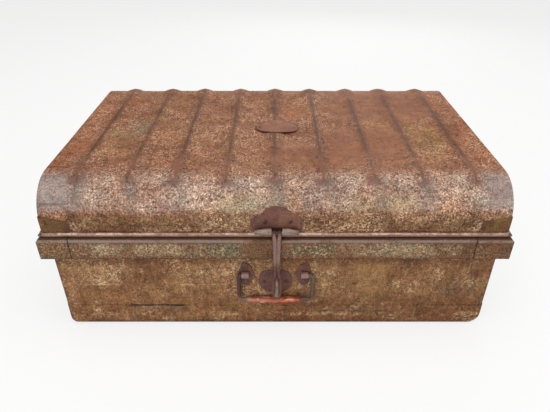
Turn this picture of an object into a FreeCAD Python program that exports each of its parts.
import FreeCAD, Part
import os
from math import asin, atan2, cos, hypot, pi, radians, sin, tan

# Sheet-iron storage trunk with a ribbed lid, a padlock hasp and a bail handle.
# Units are millimetres. +X runs along the front from left to right, +Y from the front
# to the back, +Z up. The origin is the middle of the underside.

Vec = FreeCAD.Vector
os.makedirs("parts", exist_ok=True)

# ---- driving dimensions ----
body_width = 738.0
body_depth = 485.0
sheet = 1.0

# walls and the pan they stand in
wall_foot = 20.0
lip_height = 13.0
hem_height = 8.0
wall_corner_radius = 8.0
corner_lap = 22.0
pan_height = 45.0
pan_edge_radius = 18.0

# hollow collar folded round the top of the walls
collar_bottom = 157.0
collar_top = 199.0
collar_proud = 12.0
collar_slope_drop = 5.5
collar_shoulder_radius = 5.0
collar_left_return = 38.5
collar_right_return = 47.0

# lid
lid_clearance = 0.7
lid_top = 284.0
lid_spring_z = 223.0
lid_flange = 12.0
lid_edge_sink = 1.2

# binding strip curled round a wire along the lid's lower edge
bead_radius = 3.75
bead_sheet = 0.8
bead_gap = 0.3
bead_slit_low = radians(17)
bead_slit_high = radians(43.5)

# ribs pressed into the lid, running from front to back
rib_count = 9
rib_pitch = 78.5
rib_width = 34.0
rib_height = 5.0
rib_root = 6.0
rib_fade_angle = radians(60)
rib_lead = 8.0
rib_overrun = radians(8)
rib_toe_angle = radians(76)
rib_toe_sink = 3.0
rib_flat_count = 3

# gussets folded round the lid's corners
gusset_sheet = 0.8
gusset_length = 47.0
gusset_height = 20.0
gusset_slant = 4.0
gusset_rise = 9.0
gusset_rivet_inset = 7.0

# bare oval plate that arches over the middle rib
oval_length = 82.0
oval_width = 58.0
oval_sheet = 0.8
oval_x = 4.0
oval_y = -18.0
oval_rivet_spread = 64.0

# hasp and its plate
hasp_x = 3.0
hardware_sheet = 1.5
hasp_pin_z = 209.0
hasp_pin_out = 7.8
hasp_pin_radius = 2.2
hasp_knuckle_radius = 5.0
hasp_knuckle_span = 65.0
hasp_gap = 16.0
hasp_web_height = 9.0
hasp_plate_width = 80.0
hasp_plate_height = 40.0
hasp_plate_shoulder_z = 231.0
hasp_plate_lobe_half = 28.0
hasp_plate_lobe_z = 242.0
hasp_plate_dip_half = 17.0
hasp_plate_crown_half = 10.0
hasp_plate_rivet_spread = 40.0
hasp_plate_rivet_z = 225.2
hasp_plate_foot_radius = 3.0
hasp_plate_side_radius = 10.0
hasp_plate_lobe_radius = 5.0
hasp_plate_crown_radius = 9.0
hasp_curl_radius = 4.5
hasp_head_width = 15.4
hasp_waist_width = 12.4
hasp_eye_width = 15.0
hasp_thickness = 4.0
hasp_collar_clearance = 0.9
hasp_tip_z = 75.0
hasp_slot_length = 44.0
hasp_slot_width = 8.4
hasp_groove_width = 2.4
hasp_groove_depth = 1.2
hasp_notch_width = 6.8
hasp_notch_depth = 10.0
hasp_tip_radius = 6.5
hasp_eye_radius = 8.0
hasp_shank_radius = 12.0
hasp_taper_height = 16.0
hasp_taper_start = 6.0
hasp_rim_radius = 1.5
hasp_neck_radii = (4.0, 3.0, 6.0)

# staple that the hasp drops over
staple_z = 102.0
staple_rod_radius = 3.1
staple_half_height = 14.5
staple_bend_radius = 13.5
staple_reach = 31.3
staple_tang = 4.2
staple_clench = 8.0
staple_plate_x = 0.5
staple_plate_width = 57.0
staple_plate_height = 53.0
staple_plate_radius = 19.0
staple_rivet_spread = 38.0

# bail handle
bail_pivot_z = 119.0
bail_pivot_out = 6.5
bail_drop = 52.0
bail_half_width = 61.2
bail_wire_radius = 3.6
bail_bend_radius = 7.5
bail_pivot_end = 43.0
grip_radius = 5.5
grip_length = 88.0
grip_x = -4.0
grip_seam = 0.8
clip_saddle_inner = 41.5
clip_saddle_length = 10.0
clip_saddle_wall = 1.6
clip_height = 50.0
clip_inner_x = 36.5
clip_outer_x = 60.0
clip_lobe_x = 48.6
clip_lobe_width = 15.0
clip_lobe_radius = 6.0
clip_flat_height = 12.0
clip_wing_radius = 5.0
clip_rivet_spread = 34.0

# back hinges
hinge_x = 196.0
hinge_width = 50.0
hinge_knuckle_radius = 4.5
hinge_pin_radius = 2.2
hinge_axis_z = 197.0
hinge_centre_knuckle = 25.0
hinge_knuckle_gap = 0.3
hinge_leaf_foot = 161.0
hinge_leaf_notch = 189.0
hinge_strap_top = 251.0
hinge_strap_width = 30.0
hinge_knee_lift = 2.0
hinge_neck_slack = 0.6
hinge_shoulder_height = 3.4
hinge_taper_height = 13.0
hinge_shoulder_radius = 4.0
hinge_waist_radius = 8.0
hinge_rivet_spread = 32.0
hinge_rivet_z = 172.0
hinge_strap_rivet_low = 224.2
hinge_strap_rivet_high = 246.4

# fits, bends and rivets
rod_flat_count = 2
running_clearance = 0.05
rivet_shank = 3.0
rivet_head_radius = 3.8
rivet_head_height = 1.5
rivet_head_side_count = 8
punch_reach = 8.0
almost_all = 0.99

# ---- sizes worked out from those above ----
half_width = body_width / 2
half_depth = body_depth / 2
lip_top = collar_top + lip_height
lid_half_width = half_width + lid_clearance + sheet
lid_half_depth = half_depth + lid_clearance + sheet
lid_arc_radius = lid_top - lid_spring_z
lid_flat_end = lid_half_depth - lid_arc_radius
collar_face = half_depth + collar_proud
collar_slope = atan2(collar_slope_drop, collar_proud)
bead_out = lid_clearance + bead_radius
bead_z = (collar_top - bead_out * tan(collar_slope)
          + (bead_radius + bead_gap) / cos(collar_slope))
lid_foot = bead_z + lid_edge_sink
lid_skirt = bead_z + bead_radius
rib_radius = (rib_width ** 2 / 4 + rib_height ** 2) / (2 * rib_height)
hasp_pin_y = -(lid_half_depth + hasp_pin_out)
hasp_back_y = -(collar_face + hasp_collar_clearance)
plate_face = -(half_depth + hardware_sheet)
bail_pivot_y = -(half_depth + bail_pivot_out)
hinge_axis_y = collar_face + hinge_knuckle_radius
oval_reach = oval_x + oval_length / 2
oval_bow = (oval_reach ** 2 + rib_height ** 2) / (2 * rib_height)
far = 4 * body_width

front = Vec(0, -1, 0)
back = Vec(0, 1, 0)
up = Vec(0, 0, 1)


# ---- drawing helpers ----
def in_xz(y=0.0):
    """Map outline coordinates (u, v) to the upright plane seen from the front."""
    return lambda u, v: Vec(u, y, v)


def in_yz(x=0.0):
    """Map outline coordinates (u, v) to the upright plane seen from the side."""
    return lambda u, v: Vec(x, u, v)


def in_xy(z=0.0):
    """Map outline coordinates (u, v) to a level plane."""
    return lambda u, v: Vec(u, v, z)


def outline(corners, place):
    """Closed face through corners (u, v) or (u, v, radius), where a radius rounds the corner."""
    points = [(c[0], c[1], c[2] if len(c) > 2 else 0.0) for c in corners]
    ends = []
    edges = []
    for i, (u, v, radius) in enumerate(points):
        if not radius:
            ends.append(((u, v), (u, v)))
            continue
        on = points[(i + 1) % len(points)]
        back_length = hypot(points[i - 1][0] - u, points[i - 1][1] - v)
        on_length = hypot(on[0] - u, on[1] - v)
        back_u, back_v = (points[i - 1][0] - u) / back_length, (points[i - 1][1] - v) / back_length
        on_u, on_v = (on[0] - u) / on_length, (on[1] - v) / on_length
        half_angle = atan2(abs(back_u * on_v - back_v * on_u), back_u * on_u + back_v * on_v) / 2
        reach = radius / tan(half_angle)
        start = (u + back_u * reach, v + back_v * reach)
        end = (u + on_u * reach, v + on_v * reach)
        inset = (radius / sin(half_angle) - radius) / hypot(back_u + on_u, back_v + on_v)
        middle = (u + (back_u + on_u) * inset, v + (back_v + on_v) * inset)
        edges.append(Part.Arc(place(*start), place(*middle), place(*end)).toShape())
        ends.append((start, end))
    for i, (_, end) in enumerate(ends):
        start = ends[(i + 1) % len(ends)][0]
        if hypot(start[0] - end[0], start[1] - end[1]) > 1e-6:
            edges.append(Part.makeLine(place(*end), place(*start)))
    return Part.Face(Part.Wire(Part.__sortEdges__(edges)))


def along_x(corners, x0, x1):
    return outline(corners, in_yz(x0)).extrude(Vec(x1 - x0, 0, 0))


def along_y(corners, y0, y1):
    return outline(corners, in_xz(y0)).extrude(Vec(0, y1 - y0, 0))


def along_z(corners, z0, z1):
    return outline(corners, in_xy(z0)).extrude(Vec(0, 0, z1 - z0))


def block(x0, x1, y0, y1, z0, z1):
    return Part.makeBox(x1 - x0, y1 - y0, z1 - z0, Vec(x0, y0, z0))


def rectangle(half_u, v0, v1, low_radius=0.0, high_radius=0.0):
    return [(-half_u, v0, low_radius), (half_u, v0, low_radius),
            (half_u, v1, high_radius), (-half_u, v1, high_radius)]


def rounded_prism(half_x, half_y, radius, z0, z1):
    return along_z(rectangle(half_x, -half_y, half_y, radius, radius), z0, z1)


def rod_x(radius, x0, x1, y, z):
    return Part.makeCylinder(radius, x1 - x0, Vec(x0, y, z), Vec(1, 0, 0))


def bent_rod(corners, radius, flats):
    """Round bar through corners (point, bend radius), with each bend hammered in a few flats."""
    points = [corners[0][0]]
    for (before, _), (corner, bend), (after, _) in zip(corners, corners[1:], corners[2:]):
        to_before = (before - corner).normalize()
        to_after = (after - corner).normalize()
        turn = pi - to_before.getAngle(to_after)
        centre = corner + (to_before + to_after).normalize() * (bend / cos(turn / 2))
        start = corner + to_before * (bend * tan(turn / 2))
        for i in range(flats + 1):
            angle = turn * i / flats
            points.append(centre + (start - centre) * cos(angle) - to_before * (bend * sin(angle)))
    points.append(corners[-1][0])
    path = Part.Wire([Part.makeLine(a, b) for a, b in zip(points, points[1:])])
    ring = Part.Wire(Part.makeCircle(radius, points[0], points[1] - points[0]))
    return path.makePipeShell([ring], True, False, 1)


def fuse(shapes):
    return shapes[0].multiFuse(shapes[1:]).removeSplitter()


def mirror_x(shape):
    return shape.mirror(Vec(0, 0, 0), Vec(1, 0, 0))


def mirror_y(shape):
    return shape.mirror(Vec(0, 0, 0), Vec(0, 1, 0))


def save(name, shape):
    shape.exportStep("parts/" + name + ".step")


# ---- fixings: each is (seat, outward), the place where a rivet's head meets the plate ----
def facing(shape, fixing):
    """Place a shape that is drawn along +Z at a fixing."""
    seat, outward = fixing
    shape.Placement = FreeCAD.Placement(seat, FreeCAD.Rotation(up, outward))
    return shape


def square_bar(side, z0, z1):
    return block(-side / 2, side / 2, -side / 2, side / 2, z0, z1)


def rivets(fixings, grip):
    """Rivets with hammered heads and square shanks, flush with the metal they clamp."""
    turns = [2 * pi * (i + 0.5) / rivet_head_side_count for i in range(rivet_head_side_count)]
    rim = [(rivet_head_radius * cos(turn), rivet_head_radius * sin(turn)) for turn in turns]
    solids = []
    for fixing in fixings:
        head = along_z(rim, 0, rivet_head_height)
        solids.append(facing(fuse([head, square_bar(rivet_shank, -grip, 0)]), fixing))
    return solids


def punch(shape, fixings, side=rivet_shank):
    """Punch a square hole through shape at each fixing."""
    return shape.cut([facing(square_bar(side, -punch_reach, punch_reach), f) for f in fixings])


def on_lid(x, facing_side, z, lift):
    """Fixing at height z on a plate of thickness lift, on the lid's front (-1) or back (1) curve."""
    climb = asin((z - lid_spring_z) / (lid_arc_radius + lift))
    outward = Vec(0, facing_side * cos(climb), sin(climb))
    centre = Vec(x, facing_side * lid_flat_end, lid_spring_z)
    return centre + outward * (lid_arc_radius + lift), outward


def on_oval(x):
    """Fixing on the arched oval plate."""
    outward = Vec(x, 0, (oval_bow ** 2 - x ** 2) ** 0.5).normalize()
    centre = Vec(0, oval_y, lid_top + rib_height - oval_bow)
    return centre + outward * (oval_bow + oval_sheet), outward


staple_plate_fixings = [(Vec(staple_plate_x + side * staple_rivet_spread / 2, plate_face, staple_z), front)
                        for side in (-1, 1)]
staple_fixings = [(Vec(hasp_x, plate_face, staple_z + side * staple_half_height), front)
                  for side in (-1, 1)]
clip_fixings = [(Vec(side * clip_lobe_x, plate_face, bail_pivot_z + level * clip_rivet_spread / 2), front)
                for side in (-1, 1) for level in (-1, 1)]
hinge_body_fixings = [(Vec(side * hinge_x + across * hinge_rivet_spread / 2,
                           collar_face + hardware_sheet, hinge_rivet_z), back)
                      for side in (-1, 1) for across in (-1, 1)]
hinge_lid_fixings = [on_lid(side * hinge_x, 1, z, hardware_sheet)
                     for side in (-1, 1) for z in (hinge_strap_rivet_low, hinge_strap_rivet_high)]
hasp_plate_fixings = [on_lid(hasp_x + side * hasp_plate_rivet_spread / 2, -1, hasp_plate_rivet_z,
                             hardware_sheet) for side in (-1, 1)]
oval_fixings = [on_oval(oval_x + side * oval_rivet_spread / 2) for side in (-1, 1)]
gusset_fixings = [(Vec(side * (lid_half_width - gusset_length + gusset_rivet_inset),
                       end.y * (lid_half_depth + gusset_sheet), lid_skirt + gusset_rivet_inset), end)
                  for side in (-1, 1) for end in (front, back)]


# ---- walls, pan and collar ----
def walls():
    """The four walls: the end walls are channels whose flanges lap inside the flat walls."""
    flat_half = half_width - wall_corner_radius
    hem_half = half_width - sheet - corner_lap
    flat = block(-flat_half, flat_half, -half_depth, sheet - half_depth, wall_foot, lip_top)
    hem = block(-hem_half, hem_half, sheet - half_depth, 2 * sheet - half_depth,
                lip_top - hem_height, lip_top)
    flat = fuse([flat, hem])
    outer = rounded_prism(half_width, half_depth - sheet, wall_corner_radius, wall_foot, lip_top)
    inner = rounded_prism(half_width - sheet, half_depth - 2 * sheet, wall_corner_radius - sheet,
                          wall_foot, lip_top)
    channel = outer.cut(inner).common(block(-far, -hem_half, -far, far, wall_foot, lip_top))
    end_hem_half = half_depth - wall_corner_radius - sheet
    end_hem = block(sheet - half_width, 2 * sheet - half_width, -end_hem_half, end_hem_half,
                    lip_top - hem_height, lip_top)
    end = fuse([channel, end_hem])
    riveted = punch(flat, staple_plate_fixings + clip_fixings)
    save("front_wall", punch(riveted, staple_fixings, staple_tang))
    save("back_wall", mirror_y(flat))
    save("left_end_wall", end)
    save("right_end_wall", mirror_x(end))


def tray(half_x, half_y, corner_radius, edge_radius, z0, z1):
    """Solid tray whose bottom edges curve up into the sides, mitred at the corners."""
    seen_from_front = along_y(rectangle(half_x, z0, z1, edge_radius), -far, far)
    seen_from_side = along_x(rectangle(half_y, z0, z1, edge_radius), -far, far)
    return seen_from_front.common(seen_from_side).common(
        rounded_prism(half_x, half_y, corner_radius, z0, z1))


def bottom_pan():
    """Pan the walls stand in, lapping outside them, with one broad bend round its foot."""
    outer = tray(half_width + sheet, half_depth + sheet, wall_corner_radius + sheet,
                 pan_edge_radius, 0, pan_height)
    inner = tray(half_width, half_depth, wall_corner_radius, pan_edge_radius - sheet,
                 sheet, pan_height + sheet)
    save("bottom_pan", outer.cut(inner))


def collar_form(proud, bottom, top, shoulder_radius):
    """Solid form of the collar, with a sloping top and mitred corners."""
    drop = proud * tan(collar_slope)
    forms = []
    for half in (half_width, half_depth):
        edge = half + proud
        forms.append([(-edge, bottom), (edge, bottom), (edge, top - drop, shoulder_radius),
                      (half, top), (-half, top),
                      (-edge, top - drop, shoulder_radius)])
    return along_y(forms[0], -far, far).common(along_x(forms[1], -far, far))


def collar():
    """Folded sheet collar in four strips: two ends that lap round the corners, a front and a back."""
    outer = collar_form(collar_proud, collar_bottom, collar_top, collar_shoulder_radius)
    hollow = collar_form(collar_proud - sheet, collar_bottom + sheet,
                         collar_top - sheet / cos(collar_slope), collar_shoulder_radius - sheet)
    walls_inside = rounded_prism(half_width, half_depth, wall_corner_radius, 0, lip_top)
    ring = outer.cut(hollow).cut(walls_inside)
    left_seam = collar_left_return - half_width
    right_seam = half_width - collar_right_return
    save("collar_left", ring.common(block(-far, left_seam, -far, far, 0, far)))
    save("collar_right", ring.common(block(right_seam, far, -far, far, 0, far)))
    save("collar_front", ring.common(block(left_seam, right_seam, -far, 0, 0, far)))
    back_strip = ring.common(block(left_seam, right_seam, 0, far, 0, far))
    save("collar_back", punch(back_strip, hinge_body_fixings))


# ---- lid ----
def arch(offset, x0, x1, foot=lid_foot):
    """Solid under the lid's curved outline, moved outward from it by offset."""
    side = lid_half_depth + offset
    radius = lid_arc_radius + offset
    top = lid_top + offset
    return along_x([(-side, foot), (side, foot), (side, top, radius), (-side, top, radius)], x0, x1)


def rib(x, offset):
    """Solid of one rib: a round-backed bar, bent down in flats, whose toes dive into the curves."""
    crest = lid_top + rib_height
    fade_out = lid_arc_radius * sin(rib_fade_angle) + rib_lead
    fade_drop = lid_arc_radius * (1 - cos(rib_fade_angle)) + rib_height
    bow_radius = (fade_out ** 2 + fade_drop ** 2) / (2 * fade_drop)
    fade_turn = atan2(fade_out, bow_radius - fade_drop) + rib_overrun
    step = fade_turn / rib_flat_count
    corner_radius = bow_radius / cos(step / 2)
    bend_y = lid_flat_end - rib_lead
    back_path = []
    for turn in [step * (i + 0.5) for i in range(rib_flat_count)]:
        back_path.append((bend_y + corner_radius * sin(turn),
                          crest - bow_radius + corner_radius * cos(turn)))
    toe_radius = lid_arc_radius - rib_toe_sink
    back_path.append((lid_flat_end + toe_radius * sin(rib_toe_angle),
                      lid_spring_z + toe_radius * cos(rib_toe_angle)))
    path = [Vec(x, -y, z) for y, z in reversed(back_path)] + [Vec(x, y, z) for y, z in back_path]
    spine = Part.Wire([Part.makeLine(a, b) for a, b in zip(path, path[1:])])
    along = (path[1] - path[0]).normalize()
    upright = Vec(1, 0, 0).cross(along)
    radius = rib_radius + offset
    depth = rib_height + rib_root + offset
    half = (radius ** 2 - (radius - depth) ** 2) ** 0.5
    low = path[0] - upright * (rib_height + rib_root)
    ends = low - Vec(half, 0, 0), low + Vec(half, 0, 0)
    section = Part.Wire([Part.Arc(ends[0], path[0] + upright * offset, ends[1]).toShape(),
                         Part.makeLine(ends[1], ends[0])])
    return spine.makePipeShell([section], True, False, 1)


def lid_form(offset, x0, x1, foot=lid_foot):
    """Solid under the ribbed lid, moved outward from its surface by offset."""
    pieces = [arch(offset, x0, x1, foot)]
    for i in range(rib_count):
        pieces.append(rib((i - (rib_count - 1) / 2) * rib_pitch, offset))
    return pieces[0].multiFuse(pieces[1:])


def lid():
    """One ribbed sheet over the top, front and back, and a flat flanged plate under it at each end."""
    outer = lid_form(0, -lid_half_width, lid_half_width)
    inner = lid_form(-sheet, -far, far, lid_foot - sheet)
    save("lid_sheet", punch(outer.cut(inner), hasp_plate_fixings + oval_fixings + hinge_lid_fixings
                            + gusset_fixings))
    plate = arch(-sheet, -lid_half_width, lid_flange - lid_half_width)
    hollow = arch(-2 * sheet, sheet - lid_half_width, far, 0)
    behind_lip = block(sheet - lid_half_width, far, -far, far, 0, lip_top + 2 * sheet)
    end = plate.cut([hollow, behind_lip])
    save("lid_left_end", end)
    save("lid_right_end", mirror_x(end))


def mitred_ring(section_at):
    """Ring of four bars round the lid, mitred at the corners; section_at gives a bar's face."""
    spread = 4 * bead_radius
    bars = []
    for turn in range(4):
        half, out = half_width + bead_out, half_depth + bead_out
        if turn % 2:
            half, out = out, half
        bar = section_at(-half - spread, -out).extrude(Vec(2 * (half + spread), 0, 0))
        mitre = along_z([(-half - spread, -out - spread), (half + spread, -out - spread),
                         (half - spread, -out + spread), (-half + spread, -out + spread)],
                        bead_z - spread, bead_z + spread)
        bar = bar.common(mitre)
        bar.rotate(Vec(0, 0, 0), up, 90 * turn)
        bars.append(bar)
    return fuse(bars)


def disc(x, y, radius):
    return Part.Face(Part.Wire(Part.makeCircle(radius, Vec(x, y, bead_z), Vec(1, 0, 0))))


def bead_section(x, y):
    """Binding strip curled round the wire, with a slit that grips the lid's lower edge."""
    reach = 3 * bead_radius
    slit = outline([(y, bead_z)] + [(y + reach * cos(angle), bead_z + reach * sin(angle))
                                    for angle in (bead_slit_low, bead_slit_high)], in_yz(x))
    return disc(x, y, bead_radius).cut(disc(x, y, bead_radius - bead_sheet)).cut(slit)


def bead_wire_section(x, y):
    return disc(x, y, bead_radius - bead_sheet - running_clearance)


def gussets():
    """Corner pieces folded round the lid's lower corners."""
    edge = -lid_half_width - gusset_sheet
    shell = arch(gusset_sheet, edge, -edge).cut(arch(0, -lid_half_width, lid_half_width, 0))
    high = lid_skirt + gusset_height

    def flap(outer_edge, inner_edge):
        return [(-far, lid_skirt), (inner_edge, lid_skirt), (inner_edge - gusset_slant, high),
                (outer_edge, high + gusset_rise), (-far, high + gusset_rise)]

    inner_x = gusset_length - lid_half_width
    inner_y = gusset_length - lid_half_depth
    from_front = along_y(flap(edge, inner_x), -far, inner_y)
    from_side = along_x(flap(-lid_half_depth - gusset_sheet, inner_y), -far, inner_x)
    gusset = punch(shell.common(from_front).common(from_side), gusset_fixings)
    save("lid_gusset_front_left", gusset)
    save("lid_gusset_front_right", mirror_x(gusset))
    save("lid_gusset_back_left", mirror_y(gusset))
    save("lid_gusset_back_right", mirror_x(mirror_y(gusset)))


def oval_plate():
    """Bare oval plate bent to arch over the middle rib, with its tips on the lid."""
    centre = Vec(0, -far / 2, lid_top + rib_height - oval_bow)
    arched = Part.makeCylinder(oval_bow + oval_sheet, far, centre, back).cut(
        Part.makeCylinder(oval_bow, far, centre, back))
    rim = Part.Ellipse(Vec(oval_x, oval_y, lid_top - sheet), oval_length / 2, oval_width / 2).toShape()
    column = Part.Face(Part.Wire(rim)).extrude(Vec(0, 0, 2 * rib_height))
    save("oval_plate", punch(arched.common(column), oval_fixings))


# ---- hasp ----
def hasp_plate():
    """Three-lobed plate that follows the lid's front, its lower edge rolled round the hasp pin."""
    half = hasp_plate_width / 2
    top = hasp_pin_z + hasp_plate_height
    bottom = hasp_pin_z + sheet
    right = [(hasp_knuckle_span / 2, bottom), (half, bottom + hasp_web_height / 2, hasp_plate_foot_radius),
             (half, hasp_plate_shoulder_z, hasp_plate_side_radius),
             (hasp_plate_lobe_half, hasp_plate_lobe_z, hasp_plate_lobe_radius),
             (hasp_plate_dip_half, hasp_plate_lobe_z, hasp_plate_lobe_radius),
             (hasp_plate_crown_half, top, hasp_plate_crown_radius)]
    corners = [(hasp_x + c[0],) + c[1:] for c in right]
    corners += [(hasp_x - c[0],) + c[1:] for c in reversed(right)]
    x0, x1 = hasp_x - half, hasp_x + half
    skin = arch(hardware_sheet, x0, x1, 0).cut(arch(0, -far, far, -1))
    plate = along_y(corners, -far, 0).common(skin)
    knuckle_x = hasp_x - hasp_knuckle_span / 2, hasp_x + hasp_knuckle_span / 2
    barrel = rod_x(hasp_knuckle_radius, *knuckle_x, hasp_pin_y, hasp_pin_z)
    web_top = hasp_pin_z + hasp_web_height
    web = along_x([(-lid_half_depth, bottom), (-lid_half_depth, web_top),
                   (-lid_half_depth - hardware_sheet, web_top),
                   (hasp_pin_y, hasp_pin_z + hasp_knuckle_radius), (hasp_pin_y, hasp_pin_z)], *knuckle_x)
    notch = block(hasp_x - hasp_gap / 2, hasp_x + hasp_gap / 2, -far, 0, 0, web_top)
    bore = rod_x(hasp_pin_radius + running_clearance, -far, far, hasp_pin_y, hasp_pin_z)
    solid = fuse([plate, barrel, web]).cut([notch, bore])
    save("hasp_plate", punch(solid, hasp_plate_fixings))
    save("hasp_pin", rod_x(hasp_pin_radius, *knuckle_x, hasp_pin_y, hasp_pin_z))


def hasp():
    """Forged hasp: a curl on the pin, a set-out neck, a grooved shank and an eye for the staple."""
    front_y = hasp_back_y - hasp_thickness
    curl_front = hasp_pin_y - hasp_curl_radius
    inner_radius, curl_bend_radius, outer_radius = hasp_neck_radii
    profile = along_x([(front_y, hasp_tip_z, hasp_rim_radius), (hasp_back_y, hasp_tip_z, hasp_rim_radius),
                       (hasp_back_y, collar_top - sheet, inner_radius),
                       (curl_front + hasp_thickness, hasp_pin_z - hasp_curl_radius),
                       (hasp_pin_y, hasp_pin_z), (curl_front, hasp_pin_z),
                       (curl_front, hasp_pin_z - hasp_pin_radius, curl_bend_radius),
                       (front_y, collar_top, outer_radius)],
                      hasp_x - hasp_eye_width, hasp_x + hasp_eye_width)
    head, waist, eye = hasp_head_width / 2, hasp_waist_width / 2, hasp_eye_width / 2
    curl = rod_x(hasp_curl_radius, hasp_x - head, hasp_x + head, hasp_pin_y, hasp_pin_z)
    slot_top = staple_z + hasp_slot_length / 2
    taper_foot = slot_top - hasp_taper_start
    right = [(eye, hasp_tip_z, hasp_tip_radius), (eye, taper_foot, hasp_eye_radius),
             (waist, taper_foot + hasp_taper_height, hasp_shank_radius),
             (head, collar_top, hasp_shank_radius), (head, hasp_pin_z + hasp_notch_depth)]
    face = [(hasp_x + c[0],) + c[1:] for c in right]
    face += [(hasp_x - c[0],) + c[1:] for c in reversed(right)]
    slot_half = hasp_slot_width / 2
    slot = along_y([(hasp_x + u * slot_half, staple_z + v * hasp_slot_length / 2, almost_all * slot_half)
                    for u, v in ((-1, -1), (1, -1), (1, 1), (-1, 1))], -far, 0)
    groove_foot = slot_top + hasp_groove_width / 2
    groove = along_z([(hasp_x - hasp_groove_width / 2, front_y),
                      (hasp_x, front_y + hasp_groove_depth),
                      (hasp_x + hasp_groove_width / 2, front_y)], groove_foot, collar_top)
    notch_top = hasp_pin_z + hasp_notch_depth
    notch = along_y([(hasp_x, hasp_pin_z - hasp_pin_radius), (hasp_x + hasp_notch_width / 2, notch_top),
                     (hasp_x - hasp_notch_width / 2, notch_top)], -far, 0)
    bore = rod_x(hasp_pin_radius + running_clearance, -far, far, hasp_pin_y, hasp_pin_z)
    solid = fuse([profile, curl]).common(along_y(face, -far, 0))
    save("hasp", solid.cut([slot, groove, notch, bore]))


def staple():
    """Rod staple whose legs are drawn down to square tangs, driven through and clenched inside."""
    nose_y = staple_rod_radius - half_depth - staple_reach
    inside = sheet - half_depth
    low, high = staple_z - staple_half_height, staple_z + staple_half_height
    pieces = [bent_rod([(Vec(hasp_x, plate_face, low), 0), (Vec(hasp_x, nose_y, low), staple_bend_radius),
                        (Vec(hasp_x, nose_y, high), staple_bend_radius),
                        (Vec(hasp_x, plate_face, high), 0)], staple_rod_radius, rod_flat_count)]
    half = staple_tang / 2
    for side in (-1, 1):
        leg = staple_z + side * staple_half_height
        tip = sorted((leg - side * half, leg + side * staple_clench))
        pieces.append(block(hasp_x - half, hasp_x + half, plate_face, inside, leg - half, leg + half))
        pieces.append(block(hasp_x - half, hasp_x + half, inside, inside + hardware_sheet, *tip))
    save("staple", fuse(pieces))
    plate_half, plate_tall = staple_plate_width / 2, staple_plate_height / 2
    plate = along_y([(staple_plate_x + u * plate_half, staple_z + v * plate_tall, staple_plate_radius)
                     for u, v in ((-1, -1), (1, -1), (1, 1), (-1, 1))], plate_face, -half_depth)
    save("staple_plate", punch(punch(plate, staple_plate_fixings), staple_fixings, staple_tang))


# ---- bail handle ----
def clips():
    """Lozenge plates with a saddle that carries the bail's pivots."""
    low, high = bail_pivot_z - clip_height / 2, bail_pivot_z + clip_height / 2
    lobe_in, lobe_out = clip_lobe_x - clip_lobe_width / 2, clip_lobe_x + clip_lobe_width / 2
    flat = clip_flat_height / 2
    plate = along_y([(lobe_in, low, clip_lobe_radius), (lobe_out, low, clip_lobe_radius),
                     (clip_outer_x, bail_pivot_z - flat, clip_wing_radius),
                     (clip_outer_x, bail_pivot_z + flat, clip_wing_radius),
                     (lobe_out, high, clip_lobe_radius), (lobe_in, high, clip_lobe_radius),
                     (clip_inner_x, bail_pivot_z, clip_wing_radius)], plate_face, -half_depth)
    bore_radius = bail_wire_radius + running_clearance
    radius = bore_radius + clip_saddle_wall
    saddle_x = clip_saddle_inner, clip_saddle_inner + clip_saddle_length
    saddle = rod_x(radius, *saddle_x, bail_pivot_y, bail_pivot_z)
    root = block(*saddle_x, bail_pivot_y, -half_depth, bail_pivot_z - radius, bail_pivot_z + radius)
    bore = rod_x(bore_radius, 0, far, bail_pivot_y, bail_pivot_z)
    clip = punch(fuse([plate, saddle, root]).cut(bore), clip_fixings)
    save("right_handle_clip", clip)
    save("left_handle_clip", mirror_x(clip))


def bail():
    """Bent wire bail with its ends turned inward, and a rolled sleeve for the hand."""
    bar_z = bail_pivot_z - bail_drop
    half_path = [(bail_pivot_end, bail_pivot_z, 0), (bail_half_width, bail_pivot_z, bail_bend_radius),
                 (bail_half_width, bar_z, bail_bend_radius)]
    path = [(Vec(x, bail_pivot_y, z), bend) for x, z, bend in half_path]
    path += [(Vec(-x, bail_pivot_y, z), bend) for x, z, bend in reversed(half_path)]
    save("bail_wire", bent_rod(path, bail_wire_radius, rod_flat_count))
    x0, x1 = grip_x - grip_length / 2, grip_x + grip_length / 2
    sleeve = rod_x(grip_radius, x0, x1, bail_pivot_y, bar_z)
    bore = rod_x(bail_wire_radius + running_clearance, -far, far, bail_pivot_y, bar_z)
    seam = block(x0, x1, bail_pivot_y, 0, bar_z - grip_seam / 2, bar_z + grip_seam / 2)
    save("bail_grip", sleeve.cut([bore, seam]))


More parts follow.
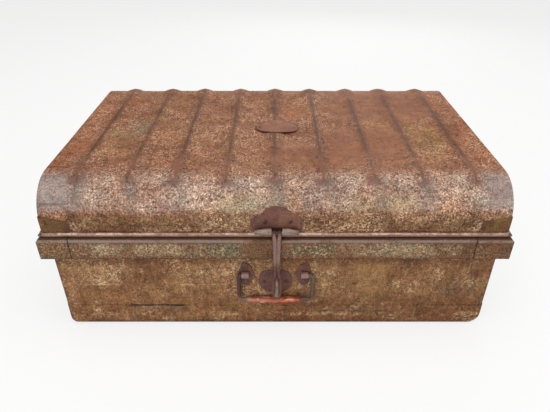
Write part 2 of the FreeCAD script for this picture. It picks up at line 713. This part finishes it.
# ---- back hinges ----
def hinges():
    """Two strap hinges: a leaf on the collar, a strap set over the bead and up the lid's back."""
    half = hinge_width / 2
    knuckle_half = hinge_centre_knuckle / 2
    outer_face = collar_face + hardware_sheet
    bore = rod_x(hinge_pin_radius + running_clearance, -far, far, hinge_axis_y, hinge_axis_z)
    barrel = rod_x(hinge_knuckle_radius, -half, half, hinge_axis_y, hinge_axis_z)
    plate = block(-half, half, collar_face, outer_face, hinge_leaf_foot, hinge_axis_z)
    middle = block(-knuckle_half, knuckle_half, -far, far, hinge_leaf_notch, far)
    body_leaf = fuse([plate, barrel]).cut([middle, bore])

    strap_half = hinge_strap_width / 2
    knee_z = hinge_axis_z + hinge_knuckle_radius + hinge_knee_lift
    bend_z = knee_z + collar_face - lid_half_depth
    neck_top = bend_z + hinge_neck_slack
    neck = along_x([(collar_face, hinge_axis_z), (outer_face, hinge_axis_z),
                    (outer_face, knee_z + hinge_neck_slack),
                    (lid_half_depth + hardware_sheet, neck_top), (lid_half_depth, neck_top),
                    (lid_half_depth, bend_z), (collar_face, knee_z)], -half, half)
    skin = arch(hardware_sheet, -half, half, bend_z).cut(arch(0, -far, far, 0))
    shoulder = bend_z + hinge_shoulder_height
    waist = shoulder + hinge_taper_height
    tip_radius = almost_all * strap_half
    strap_face = along_y([(-half, 0), (half, 0), (half, shoulder, hinge_shoulder_radius),
                          (strap_half, waist, hinge_waist_radius),
                          (strap_half, hinge_strap_top, tip_radius),
                          (-strap_half, hinge_strap_top, tip_radius),
                          (-strap_half, waist, hinge_waist_radius),
                          (-half, shoulder, hinge_shoulder_radius)], 0, far)
    strap = fuse([neck, skin.common(block(-far, far, 0, far, bend_z, far))]).common(strap_face)
    room = knuckle_half - hinge_knuckle_gap
    cut_top = knee_z - hinge_knee_lift / 2
    beside = [block(*span, -far, far, 0, cut_top) for span in ((-far, -room), (room, far))]
    lid_leaf = fuse([strap, barrel]).cut(beside + [bore])
    pin = rod_x(hinge_pin_radius, -half, half, hinge_axis_y, hinge_axis_z)
    for side, name in ((-1, "left"), (1, "right")):
        shift = Vec(side * hinge_x, 0, 0)
        save(name + "_hinge_body_leaf", punch(body_leaf.translated(shift), hinge_body_fixings))
        save(name + "_hinge_lid_leaf", punch(lid_leaf.translated(shift), hinge_lid_fixings))
        save(name + "_hinge_pin", pin.translated(shift))


def all_rivets():
    """Rivets of the trunk's body and of its lid, one group each."""
    clamp = hardware_sheet + sheet
    oval_grip = [seat.z - lid_top + sheet for seat, _ in oval_fixings]
    body_group = rivets(staple_plate_fixings + clip_fixings + hinge_body_fixings, clamp)
    lid_group = rivets(hasp_plate_fixings + hinge_lid_fixings, clamp)
    lid_group += rivets(gusset_fixings, gusset_sheet + sheet)
    for fixing, grip in zip(oval_fixings, oval_grip):
        lid_group += rivets([fixing], grip)
    save("body_rivets", Part.makeCompound(body_group))
    save("lid_rivets", Part.makeCompound(lid_group))


walls()
bottom_pan()
collar()
lid()
save("lid_bead", mitred_ring(bead_section))
save("lid_bead_wire", mitred_ring(bead_wire_section))
gussets()
oval_plate()
hasp_plate()
hasp()
staple()
clips()
bail()
hinges()
all_rivets()
